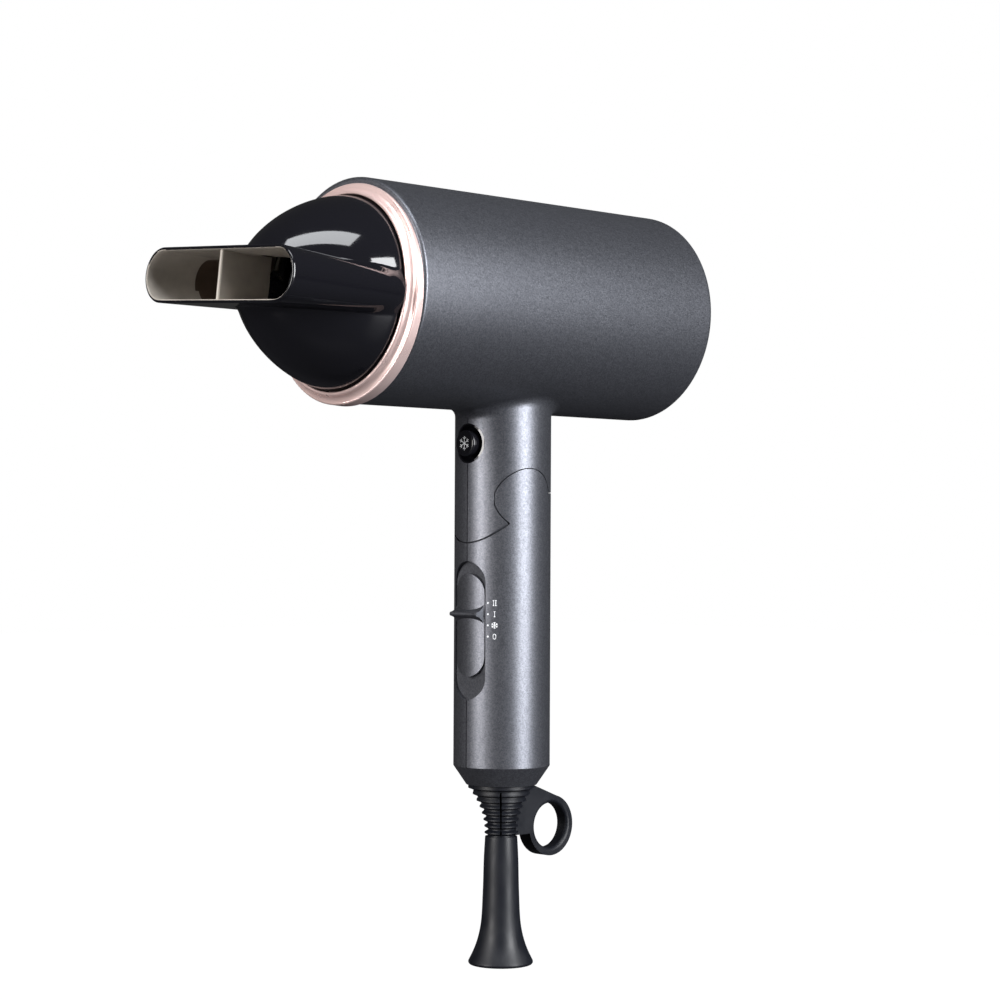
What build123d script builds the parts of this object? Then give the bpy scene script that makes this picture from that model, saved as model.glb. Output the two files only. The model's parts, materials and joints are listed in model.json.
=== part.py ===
from build123d import *
from math import cos, radians, sin, sqrt
import os

# Folding hair dryer with a flat concentrator nozzle.
# Frame: origin on the handle axis at the foot of the cord sleeve, +Z up along the handle,
# the nozzle blows towards -Y, and X is across the handle.

# ---------------------------------------------------------------- driving dimensions (mm)
WALL = 2.5                  # moulded shell wall
GAP = 0.35                  # clearance between pieces that move past each other

BARREL_RADIUS = 40.0
BARREL_FRONT = -75.2
BARREL_REAR = 73.0
BARREL_Z = 245.4            # height of the barrel's axis
OUTLET_DROP = 1.5           # the air outlet sits this much under the barrel's axis
OUTLET_Z = BARREL_Z - OUTLET_DROP
OUTLET_TILT = 3.2           # degrees that the outlet and nozzle lean up
OUTLET_PIVOT = -78.5
FRONT_ROUND = 1.4
REAR_ROUND = 2.0

HANDLE_RADIUS = 18.0
HANDLE_FOOT = 66.7
HANDLE_FOOT_RADIUS = 13.1
HANDLE_CHAMFER_TOP = 73.9
SEAM_WIDTH = 0.4
SEAM_DEPTH = 0.35
NECK_BLEND = 4.5            # fillet between neck and barrel
CAVITY_FLOOR = 187.0        # the neck is hollow above this height

HINGE_Y = -3.1
HINGE_Z = 172.6
EAR_RADIUS = 11.3           # round ears of the handle, seen from the side
FOLD_SLOPE = 46.5           # degrees under the horizontal of the front fold line
TONGUE_SLOPE = 52.0         # the tongue behind the fold line ends here
TONGUE_STEP = 0.1  # the tongue's rim inside the fold line
NECK_REAR_EDGE = 175.6      # the neck's lower edge behind the hinge
EAR_INNER = 10.4            # from the seam to the ears' inner faces
DRUM_RADIUS = 17.8          # crowned drum between the ears, at its middle
DRUM_SIDE_RADIUS = 13.4     # and at its sides
PIN_RADIUS = 2.5
PIN_REACH = 16.3
PIN_CLEARANCE = 0.05

RECESS_BOTTOM = 98.8
RECESS_TOP = 149.9
RECESS_WIDTH = 16.0
RECESS_FLOOR = 15.6         # forward of the handle axis
PAD_BACK = 13.7             # inner face of the thicker wall behind the recess
KNOB_BOTTOM = 107.3
KNOB_TOP = 145.3
KNOB_WIDTH = 14.8
KNOB_RIDGE_Z = 130.4
KNOB_RIDGE_RADIUS = 19.9
SLIDER_UP = 4.1            # travel from the drawn position
SLIDER_DOWN = 8.2
STEM_WIDTH = 4.4
STEM_HEIGHT = 5.0

BUTTON_Z = 193.3
BEZEL_RADIUS = 7.4
BEZEL_FLANGE = 8.2
BUTTON_RADIUS = 4.85
BUTTON_FACE = 19.7          # forward of the handle axis
BUTTON_TRAVEL = 1.5

RING_OUTER = 39.3
RING_INNER = 35.1
RING_FACE = -80.6           # inner edge of the trim ring's dished face
RING_LIP = -77.9
RING_NECK = 36.7            # the part of the trim ring inside the barrel
FLANGE_FRONT = -68.0        # outlet collar's flange, behind the trim ring

NOZZLE_BASE_RADIUS = 34.4
NOZZLE_BASE_REAR = -68.6
NOZZLE_WALL = 1.5
SNAP_RADIUS = 31.4
DOME_START = -80.6
DOME_LENGTH = 41.4
DOME_POWER = 1.6
DUCT_REAR = -81.1
MOUTH_Y = -133.5
MOUTH_WIDTH = 83.2
MOUTH_HEIGHT = 19.4
DUCT_REAR_WIDTH = 73.0
DUCT_REAR_HEIGHT = 15.0
MOUTH_WALL = 1.2
MOUTH_DROP = 0.75           # the mouth's middle under the outlet axis
NOZZLE_TURN = 4.1           # degrees about the barrel's axis, left end up
DIVIDER_THICK = 1.6
DIVIDER_DEPTH = 22.0

COLLAR_RADIUS = 29.6
HEATER_RADIUS = 30.0
HEATER_FRONT = -62.0
HEATER_REAR = 4.0
BOARD_HALF = 26.0
COIL_RADIUS = 23.5
COIL_WIRE = 0.7
DUCT_OUTER = 34.0
DUCT_INNER = 32.0
DUCT_END = 61.0
MOTOR_FRONT = 10.5
MOTOR_LENGTH = 26.5
MOTOR_CUP = 15.2
MOTOR_RADIUS = 13.0
SHAFT_RADIUS = 1.5
BUSH_RADIUS = 3.0
HUB_RADIUS = 11.0
FAN_RADIUS = 31.2
FAN_FRONT = 42.0
FAN_REAR = 58.0
BLADES = 9
VANES = 7

COVER_RADIUS = 37.1
COVER_FRONT = 63.0
COVER_REAR = 72.4
HOLE_RADIUS = 1.5
HOLE_PITCH = 4.4
GRILLE_RADIUS = 32.0

GUARD_BOTTOM_RADIUS = 6.2
GUARD_BOTTOM = 47.4
RIB_COUNT = 8
RIB_GROOVE = 1.3
SLIT_WIDTH = 0.7
GUARD_STEM = 4.6
CORD_BORE = 3.4
LOOP_Y = 23.3
LOOP_Z = 49.9
LOOP_OUTER = 11.4
LOOP_HOLE = 8.4
LOOP_THICK = 6.0
LOOP_ROUND = 1.4
COLLAR_DISC = 12.4
WEB_SLOPE = 62.0            # where the web's outer edge meets the loop, degrees over the horizontal
SLEEVE_TOP_RADIUS = 6.0
SLEEVE_FOOT_RADIUS = 12.0

BOARD_BACK = 4.0            # control board in the handle, forward of the axis
BOARD_THICK = 1.6
SWITCH_FRONT = 11.0
SCREW_SHANK = 1.4
SCREW_HEAD = 2.6
HANDLE_SCREWS_Z = (88.0, 146.0)
HANDLE_SCREWS_Y = 9.0
NECK_SCREW_Y = 13.4
NECK_SCREW_Z = 180.9

hinge_axis = Axis((0, HINGE_Y, HINGE_Z), (1, 0, 0))
barrel_axis = Axis((0, 0, BARREL_Z), (0, 1, 0))
outlet_axis = Axis((0, 0, OUTLET_Z), (0, 1, 0))
button_axis = Axis((0, 0, BUTTON_Z), (0, 1, 0))

os.makedirs("parts", exist_ok=True)


def save(piece, name):
    piece.label = name
    export_step(piece, f"parts/{name}.step")


def facing_front(y):
    """Plane across the barrel at y, with X to the right, Z up and its normal forward."""
    return Plane.XZ.offset(-y)


def along_barrel(y, z=BARREL_Z):
    """Plane at y, centred on a lengthwise axis at height z, with its normal to the rear."""
    return Plane(origin=(0, y, z), x_dir=(1, 0, 0), z_dir=(0, 1, 0))


def tube(outer, inner, y_start, y_end, z=BARREL_Z):
    """A plain tube along Y, or a rod where the inner radius is nothing."""
    with BuildPart() as piece:
        with BuildSketch(along_barrel(y_start, z)):
            Circle(outer)
            if inner:
                Circle(inner, mode=Mode.SUBTRACT)
        extrude(amount=y_end - y_start)
    return piece.part


def turned(points, axis, plane=Plane.YZ):
    """Solid of revolution of a straight-sided outline drawn on a plane through its axis."""
    with BuildPart() as piece:
        with BuildSketch(plane):
            Polygon(*points, align=None)
        revolve(axis=axis)
    return piece.part


def side_prism(points, half_width=30.0):
    """Prism across X whose outline is given as (forward, up) from the handle axis."""
    with BuildPart() as prism:
        with BuildSketch(Plane.YZ):
            Polygon(*[(-forward, up) for forward, up in points], align=None)
        extrude(amount=half_width, both=True)
    return prism.part


def half_space(side):
    """Large block on one side of the seam: side is +1 for X above 0 and -1 for below."""
    with BuildPart() as block:
        with BuildSketch(Plane.YZ):
            with Locations((0, 180)):
                Rectangle(400, 400)
        extrude(amount=side * 60)
    return block.part


# ---------------------------------------------------------------- fold surfaces
# where the fold line meets the rim of the ear, across from the seam
NOTCH_X = sqrt(HANDLE_RADIUS**2 - (EAR_RADIUS * cos(radians(FOLD_SLOPE)) - HINGE_Y) ** 2)


def fold_radius(across):
    """Distance from the hinge axis to the fold line on the handle's surface."""
    return (sqrt(HANDLE_RADIUS**2 - across**2) + HINGE_Y) / cos(radians(FOLD_SLOPE))


def crowned_disc(rim, half_width):
    """Disc about the hinge axis whose rim follows a curve through points (across, radius)."""
    with BuildPart() as disc:
        with BuildSketch(Plane((0, HINGE_Y, HINGE_Z))):
            with BuildLine():
                Spline(*rim)
                Polyline(rim[-1], (half_width, 0), (-half_width, 0), rim[0])
            make_face()
        revolve(axis=hinge_axis)
    return disc.part


def fold_disc(grow):
    """Disc whose rim passes through the fold line, larger all round by the growth."""
    half_width = NOTCH_X + grow
    steps = [-1, -0.88, -0.66, -0.4, -0.13, 0.13, 0.4, 0.66, 0.88, 1]
    rim = [(half_width * step, fold_radius(NOTCH_X * step) + grow) for step in steps]
    return crowned_disc(rim, half_width)


def ear_discs(radius, inner, outer=20.0):
    """Pair of discs about the hinge axis, from an inner to an outer distance from the seam."""
    with BuildPart() as discs:
        for side in (1, -1):
            with BuildSketch(Plane.YZ.offset(side * inner)):
                with Locations((HINGE_Y, HINGE_Z)):
                    Circle(radius)
            extrude(amount=side * (outer - inner))
    return discs.part


def handle_rod(bottom, top, radius=HANDLE_RADIUS):
    with BuildPart() as rod:
        with BuildSketch(Plane.XY.offset(bottom)):
            Circle(radius)
        extrude(amount=top - bottom)
    return rod.part


def fold_ray(angle, reach):
    """Point at a reach from the hinge, at an angle under the horizontal, as (forward, up)."""
    return (-HINGE_Y + reach * cos(radians(angle)), HINGE_Z - reach * sin(radians(angle)))


neck_front = side_prism([
    (-HINGE_Y, HINGE_Z), fold_ray(FOLD_SLOPE, 40), (40, NECK_REAR_EDGE), (-HINGE_Y, NECK_REAR_EDGE),
])
tongue_sector = side_prism([
    (-HINGE_Y, HINGE_Z), fold_ray(TONGUE_SLOPE, 40), fold_ray(FOLD_SLOPE - 3, 40),
])

# The tongue closes the gap behind the fold line, from just inside the line inward and down.
with BuildPart() as tongue:
    add(fold_disc(-TONGUE_STEP))
    add(tongue_sector, mode=Mode.INTERSECT)
    add(handle_rod(HINGE_Z - 25, HINGE_Z), mode=Mode.INTERSECT)

# ---------------------------------------------------------------- barrel and neck shell
with BuildPart() as housing:
    with BuildSketch(facing_front(BARREL_REAR)):
        with Locations((0, BARREL_Z)):
            Circle(BARREL_RADIUS)
    extrude(amount=BARREL_REAR - BARREL_FRONT)
    fillet(housing.edges().group_by(Axis.Y)[0], FRONT_ROUND)
    fillet(housing.edges().group_by(Axis.Y)[-1], REAR_ROUND)
    # neck above the hinge, blended into the barrel
    add(handle_rod(NECK_REAR_EDGE, BARREL_Z - 10))
    neck_joint = housing.edges().filter_by_position(
        Axis.Z, BARREL_Z - BARREL_RADIUS - 1, BARREL_Z - BARREL_RADIUS + 6
    )
    fillet([e for e in neck_joint if abs(e.center().Y) < HANDLE_RADIUS], NECK_BLEND)
    # hollow barrel, and a neck hollow down to the cavity floor
    add(tube(BARREL_RADIUS - WALL, 0, BARREL_FRONT, BARREL_REAR), mode=Mode.SUBTRACT)
    add(handle_rod(CAVITY_FLOOR, BARREL_Z, HANDLE_RADIUS - WALL), mode=Mode.SUBTRACT)
    # front of the neck beside the ears, the tongue, and the drum with the ears' recesses
    neck_low = handle_rod(HINGE_Z - 25, NECK_REAR_EDGE)
    add(neck_low & neck_front)
    add(tongue.part)
    drum_rim = [(-EAR_INNER, DRUM_SIDE_RADIUS), (0, DRUM_RADIUS), (EAR_INNER, DRUM_SIDE_RADIUS)]
    add(neck_low & crowned_disc(drum_rim, EAR_INNER))
    add(ear_discs(EAR_RADIUS + GAP, EAR_INNER), mode=Mode.SUBTRACT)
    # button guide, pocket for its flange, pin bore, wire passage behind the pin
    add(tube(BEZEL_RADIUS, 0, -30, 0, BUTTON_Z), mode=Mode.SUBTRACT)
    with BuildSketch(Plane.XY.offset(BUTTON_Z - BEZEL_FLANGE - 0.5)):
        with Locations((0, -6.6)):
            Rectangle(19, 13.2)
    extrude(amount=CAVITY_FLOOR - BUTTON_Z + BEZEL_FLANGE + 0.5, mode=Mode.SUBTRACT)
    with BuildSketch(Plane.YZ):
        with Locations((HINGE_Y, HINGE_Z)):
            Circle(PIN_RADIUS + PIN_CLEARANCE)
    extrude(amount=EAR_INNER, both=True, mode=Mode.SUBTRACT)
    with BuildSketch(Plane.XY.offset(HINGE_Z - 25)):
        with Locations((0, 6)):
            Rectangle(12, 10)
    extrude(amount=CAVITY_FLOOR - HINGE_Z + 25, mode=Mode.SUBTRACT)
    # screw pocket from the left and screw hole across the seam
    with BuildSketch(Plane.YZ):
        with Locations((NECK_SCREW_Y, NECK_SCREW_Z)):
            Circle(SCREW_SHANK)
    extrude(amount=8, both=True, mode=Mode.SUBTRACT)
    with BuildSketch(Plane.YZ.offset(-8)):
        with Locations((NECK_SCREW_Y, NECK_SCREW_Z)):
            Circle(SCREW_HEAD)
    extrude(amount=-12, mode=Mode.SUBTRACT)
    # seam groove down the front and back of the neck
    with BuildSketch(Plane.XY.offset(HINGE_Z - 25)):
        for side in (1, -1):
            with Locations((0, side * HANDLE_RADIUS)):
                Rectangle(SEAM_WIDTH, 2 * SEAM_DEPTH)
    extrude(amount=BARREL_Z - BARREL_RADIUS - HINGE_Z + 25, mode=Mode.SUBTRACT)

for side, name in ((-1, "housing_left"), (1, "housing_right")):
    with BuildPart() as housing_half:
        add(housing.part)
        add(half_space(side), mode=Mode.INTERSECT)
    save(housing_half.part, name)

# ---------------------------------------------------------------- front trim ring and outlet
def leaned(piece):
    """A piece built level about the outlet's axis, leaned up with the outlet."""
    pivot = Pos(0, OUTLET_PIVOT, OUTLET_Z)
    return pivot * Rot(-OUTLET_TILT, 0, 0) * Pos(0, -OUTLET_PIVOT, -OUTLET_Z) * piece


def ring_point(y, radius):
    return (y, OUTLET_Z + radius)


with BuildPart() as ring_blank:
    with BuildSketch(Plane.YZ):
        with BuildLine():
            Polyline(
                ring_point(RING_FACE + 0.3, RING_INNER), ring_point(FLANGE_FRONT, RING_INNER),
                ring_point(FLANGE_FRONT, RING_NECK), ring_point(BARREL_FRONT + 3, RING_NECK),
                ring_point(BARREL_FRONT + 3, RING_OUTER), ring_point(RING_LIP + 0.7, RING_OUTER),
            )
            ThreePointArc(
                ring_point(RING_LIP + 0.7, RING_OUTER), ring_point(RING_LIP + 0.15, RING_OUTER - 0.25),
                ring_point(RING_LIP, RING_OUTER - 0.8),
            )
            ThreePointArc(
                ring_point(RING_LIP, RING_OUTER - 0.8), ring_point(RING_LIP - 0.35, RING_OUTER - 1.9),
                ring_point(RING_FACE + 1, RING_INNER + 1.3),
            )
            ThreePointArc(
                ring_point(RING_FACE + 1, RING_INNER + 1.3), ring_point(RING_FACE + 0.15, RING_INNER + 0.5),
                ring_point(RING_FACE + 0.3, RING_INNER),
            )
        make_face()
    revolve(axis=outlet_axis)

barrel_inside = tube(BARREL_RADIUS - WALL - 0.2, 0, BARREL_FRONT - 1, BARREL_FRONT + 20)
ahead_of_barrel = tube(60, 0, -170, BARREL_FRONT)
with BuildPart() as outlet_room:
    add(barrel_inside)
    add(ahead_of_barrel)
save(leaned(ring_blank.part) & outlet_room.part, "trim_ring")

with BuildPart() as collar_blank:
    add(tube(COLLAR_RADIUS, COLLAR_RADIUS - 1.6, -73, FLANGE_FRONT + 2, OUTLET_Z))
    add(tube(RING_NECK, COLLAR_RADIUS - 0.1, FLANGE_FRONT, FLANGE_FRONT + 2, OUTLET_Z))
save(leaned(collar_blank.part) & outlet_room.part, "outlet_collar")

with BuildPart() as outlet_grille:
    with BuildSketch(along_barrel(-71, OUTLET_Z)):
        for radius in (7, 14, 21, COLLAR_RADIUS - 1.6):
            Circle(radius)
            Circle(radius - 1.2, mode=Mode.SUBTRACT)
            with PolarLocations(radius - 4, 6):
                Rectangle(7, 1.2)
    extrude(amount=1.4)
save(leaned(outlet_grille.part), "outlet_grille")

# ---------------------------------------------------------------- heater
save(tube(HEATER_RADIUS, HEATER_RADIUS - 0.6, HEATER_FRONT, HEATER_REAR), "heater_tube")

COIL_PLACES = [HEATER_FRONT + 10 + 8.5 * step for step in range(6)]
with BuildPart() as heater_coils:
    for y in COIL_PLACES:
        with BuildSketch(Plane.YZ):
            with Locations((y, BARREL_Z + COIL_RADIUS)):
                Circle(COIL_WIRE)
        revolve(axis=barrel_axis)
save(heater_coils.part, "heater_coils")

with BuildPart() as heater_boards:
    with BuildSketch(along_barrel(HEATER_FRONT + 3)):
        Rectangle(2 * BOARD_HALF, 0.8)
        Rectangle(0.8, 2 * BOARD_HALF)
    extrude(amount=HEATER_REAR - HEATER_FRONT - 12)
    for y in COIL_PLACES:
        notch = tube(BOARD_HALF + 1, COIL_RADIUS - COIL_WIRE - 0.1, y - 1, y + 1)
        add(notch, mode=Mode.SUBTRACT)
save(heater_boards.part, "heater_boards")

with BuildPart() as thermostat:
    with BuildSketch(Plane.XY.offset(BARREL_Z + 0.45)):
        with Locations((11, HEATER_FRONT + 22)):
            Rectangle(9, 15)
    extrude(amount=4)
    fillet(thermostat.edges().filter_by(Axis.Z), 1)
save(thermostat.part, "thermostat")

with BuildPart() as thermal_fuse:
    with BuildSketch(Plane.XZ.offset(40)):
        with Locations((-11, BARREL_Z + 2.5)):
            Circle(2)
    extrude(amount=11)
save(thermal_fuse.part, "thermal_fuse")

# ---------------------------------------------------------------- fan and motor
with BuildPart() as fan_duct:
    add(tube(DUCT_OUTER, DUCT_INNER, HEATER_REAR, DUCT_END))
    for y in (HEATER_REAR, DUCT_END - 2):
        add(tube(BARREL_RADIUS - WALL, DUCT_OUTER - 0.1, y, y + 2))
    add(tube(DUCT_OUTER - 0.1, HEATER_RADIUS - 0.6, HEATER_REAR, HEATER_REAR + 1.5))
    add(tube(MOTOR_CUP, MOTOR_CUP - 1.2, MOTOR_FRONT - 1.5, MOTOR_FRONT + MOTOR_LENGTH + 1))
    add(tube(MOTOR_CUP, 6, MOTOR_FRONT - 1.5, MOTOR_FRONT))
    with BuildSketch(along_barrel(MOTOR_FRONT + 3)):
        with PolarLocations((MOTOR_CUP + DUCT_INNER) / 2, VANES):
            Rectangle(DUCT_INNER - MOTOR_CUP + 1, 1.4)
    extrude(amount=22)
save(fan_duct.part, "fan_duct")

motor_rear = MOTOR_FRONT + MOTOR_LENGTH
save(tube(MOTOR_CUP - 1.2, MOTOR_RADIUS, MOTOR_FRONT + 0.5, motor_rear - 1), "motor_damper")
with BuildPart() as motor_can:
    add(tube(MOTOR_RADIUS, 0, MOTOR_FRONT, motor_rear))
    add(tube(MOTOR_RADIUS - 1, 0, MOTOR_FRONT + 1, motor_rear - 1), mode=Mode.SUBTRACT)
    add(tube(BUSH_RADIUS, 0, MOTOR_FRONT, motor_rear), mode=Mode.SUBTRACT)
save(motor_can.part, "motor_can")
with BuildPart() as motor_bushes:
    for y in (MOTOR_FRONT, motor_rear - 2.5):
        add(tube(BUSH_RADIUS, SHAFT_RADIUS + PIN_CLEARANCE, y, y + 2.5))
save(motor_bushes.part, "motor_bushes")

save(tube(SHAFT_RADIUS, 0, MOTOR_FRONT, FAN_REAR - 2), "motor_shaft")
save(tube(9.5, SHAFT_RADIUS, MOTOR_FRONT + 4, motor_rear - 4), "armature")


def blade(angle):
    """One flat blade of the fan, pitched and turned about the barrel's axis."""
    length = FAN_RADIUS - HUB_RADIUS + 1
    pitched = Rot(38, 0, 0) * Box(length, 1.4, 16, mode=Mode.PRIVATE)
    placed = Rot(0, angle, 0) * Pos(HUB_RADIUS + length / 2 - 1, 0, 0) * pitched
    return Pos(0, FAN_FRONT + 7, BARREL_Z) * placed


with BuildPart() as impeller:
    add(tube(HUB_RADIUS, 0, FAN_FRONT, FAN_REAR - 3))
    fillet(impeller.edges().group_by(Axis.Y)[-1], 4)
    add(tube(SHAFT_RADIUS, 0, FAN_FRONT, FAN_REAR - 2), mode=Mode.SUBTRACT)
    add(tube(HUB_RADIUS - 2, SHAFT_RADIUS + 2, FAN_FRONT, FAN_REAR - 9), mode=Mode.SUBTRACT)
    for index in range(BLADES):
        add(blade(360 / BLADES * index))
    add(tube(FAN_RADIUS, 0, FAN_FRONT, FAN_REAR), mode=Mode.INTERSECT)
save(impeller.part, "impeller")

# ---------------------------------------------------------------- rear cover
hole_rows = int(GRILLE_RADIUS / (HOLE_PITCH * 0.866)) + 1
hole_places = []
for row in range(-hole_rows, hole_rows + 1):
    for column in range(-hole_rows, hole_rows + 1):
        across = (column + 0.5 * (row % 2)) * HOLE_PITCH
        up = row * HOLE_PITCH * 0.866
        if across**2 + up**2 < (GRILLE_RADIUS - 2) ** 2:
            hole_places.append((across, up))

with BuildPart() as rear_cover:
    add(tube(COVER_RADIUS, COVER_RADIUS - 2, COVER_FRONT, COVER_REAR))
    fillet(rear_cover.edges().group_by(Axis.Y)[-1], 0.8)
    with BuildSketch(along_barrel(COVER_REAR - 3)):
        Circle(COVER_RADIUS - 1)
        with Locations(*hole_places):
            Circle(HOLE_RADIUS, mode=Mode.SUBTRACT)
    extrude(amount=2)
save(rear_cover.part, "rear_cover")
save(tube(COVER_RADIUS - 2.2, 0, COVER_REAR - 3.8, COVER_REAR - 3), "inlet_filter")

# ---------------------------------------------------------------- concentrator nozzle
snap_ring = tube(SNAP_RADIUS, COLLAR_RADIUS + 0.3, -78.5, FLANGE_FRONT - 0.3, OUTLET_Z)
save(leaned(snap_ring), "nozzle_snap_ring")


def dome_radius(reach, base, length):
    """Radius of the dome at a reach ahead of its base."""
    return base * (1 - (reach / length) ** DOME_POWER) ** (1 / DOME_POWER)


def dome(base, length, start, rear):
    """Blunt nose ahead of a straight base."""
    steps = [0, 0.15, 0.3, 0.45, 0.6, 0.75, 0.87, 0.95, 0.985]
    outline = [(start - length * s, OUTLET_Z + dome_radius(length * s, base, length)) for s in steps]
    tip = (start - length, OUTLET_Z)
    with BuildPart() as nose:
        with BuildSketch(Plane.YZ):
            with BuildLine():
                Polyline(tip, (rear, OUTLET_Z), (rear, OUTLET_Z + base), outline[0])
                Spline(*outline, tip, tangents=((-1, 0), (0, -1)))
            make_face()
        revolve(axis=outlet_axis)
    return nose.part


def nozzle_plane(y):
    """Plane across the nozzle at y, turned with it, with its normal forward."""
    turn = radians(NOZZLE_TURN)
    return Plane(origin=(0, y, OUTLET_Z), x_dir=(cos(turn), 0, -sin(turn)), z_dir=(0, -1, 0))


def duct(shrink, front, rear):
    """Flat duct from the mouth back to the trim ring, thinner all round by the shrink."""
    with BuildPart() as channel:
        with BuildSketch(nozzle_plane(front)):
            with Locations((0, -MOUTH_DROP)):
                SlotOverall(MOUTH_WIDTH - 2 * shrink, MOUTH_HEIGHT - 2 * shrink)
        with BuildSketch(nozzle_plane(rear)):
            SlotOverall(DUCT_REAR_WIDTH - 2 * shrink, DUCT_REAR_HEIGHT - 2 * shrink)
        loft()
    return channel.part


with BuildPart() as nozzle:
    add(dome(NOZZLE_BASE_RADIUS, DOME_LENGTH, DOME_START, NOZZLE_BASE_REAR))
    add(duct(0, MOUTH_Y, DUCT_REAR))
    add(dome(
        NOZZLE_BASE_RADIUS - NOZZLE_WALL, DOME_LENGTH - NOZZLE_WALL, DOME_START, NOZZLE_BASE_REAR,
    ), mode=Mode.SUBTRACT)
    add(tube(SNAP_RADIUS + 0.35, 0, NOZZLE_BASE_REAR, DOME_START, OUTLET_Z), mode=Mode.SUBTRACT)
    add(duct(MOUTH_WALL, MOUTH_Y, DUCT_REAR - 1.5), mode=Mode.SUBTRACT)
    with BuildSketch(nozzle_plane(MOUTH_Y + 1)):
        with Locations((0, -MOUTH_DROP)):
            Rectangle(DIVIDER_THICK, MOUTH_HEIGHT - 1.5)
    extrude(amount=-DIVIDER_DEPTH)
save(leaned(nozzle.part), "nozzle")

# ---------------------------------------------------------------- cool-shot button
with BuildPart() as cool_bezel:
    add(tube(BEZEL_RADIUS, 0, -18, -12.4, BUTTON_Z))
    add(tube(BEZEL_FLANGE, 0, -12.4, -9.6, BUTTON_Z))
    add(turned(
        [(-20, BUTTON_Z), (-20, BUTTON_Z + 7.4), (-17.3, BUTTON_Z + 6.7), (-15.2, BUTTON_Z + 5.9),
         (-14.2, BUTTON_Z + 5.1), (-14.2, BUTTON_Z)], button_axis,
    ), mode=Mode.SUBTRACT)
    add(handle_rod(BUTTON_Z - 10, BUTTON_Z + 10, HANDLE_RADIUS - 0.1), mode=Mode.INTERSECT)
    add(tube(BUTTON_RADIUS + 0.15, 0, -20, -9, BUTTON_Z), mode=Mode.SUBTRACT)
save(cool_bezel.part, "cool_bezel")

with BuildPart() as cool_button:
    add(tube(BUTTON_RADIUS, 0, -BUTTON_FACE, -8.5, BUTTON_Z))
    fillet(cool_button.edges().group_by(Axis.Y)[0], 0.8)
    add(tube(BUTTON_RADIUS + 0.8, 0, -9.3, -8.5, BUTTON_Z))
save(cool_button.part, "cool_button")

with BuildPart() as cool_switch:
    with BuildSketch(facing_front(1)):
        with Locations((0, BUTTON_Z)):
            Rectangle(12, 12)
    extrude(amount=4)
    add(tube(1.2, 0, -6.7, -3, BUTTON_Z))
save(cool_switch.part, "cool_switch")

with BuildPart() as cool_spring:
    spring_path = Helix(pitch=1.25, height=4.4, radius=2.6, center=(0, -3.6, BUTTON_Z), direction=(0, -1, 0))
    with BuildSketch(Plane(origin=spring_path @ 0, z_dir=spring_path % 0)):
        Circle(0.3)
    sweep(path=spring_path, is_frenet=True)
save(cool_spring.part, "cool_spring")


def pan_screw(start, reach, y, z):
    """Pan-head screw along X: the head starts at x and the shank reaches to the right."""
    with BuildPart() as screw:
        with BuildSketch(Plane.YZ.offset(start)):
            with Locations((y, z)):
                Circle(SCREW_HEAD - 0.3)
        extrude(amount=1.6)
        with BuildSketch(Plane.YZ.offset(start + 1.6)):
            with Locations((y, z)):
                Circle(SCREW_SHANK)
        extrude(amount=reach)
        with BuildSketch(Plane.YZ.offset(start)):
            with Locations((y, z)):
                Rectangle(2.6, 0.6)
                Rectangle(0.6, 2.6)
        extrude(amount=1, mode=Mode.SUBTRACT)
    return screw.part


save(pan_screw(-9.6, 14, NECK_SCREW_Y, NECK_SCREW_Z), "neck_screw")

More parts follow.
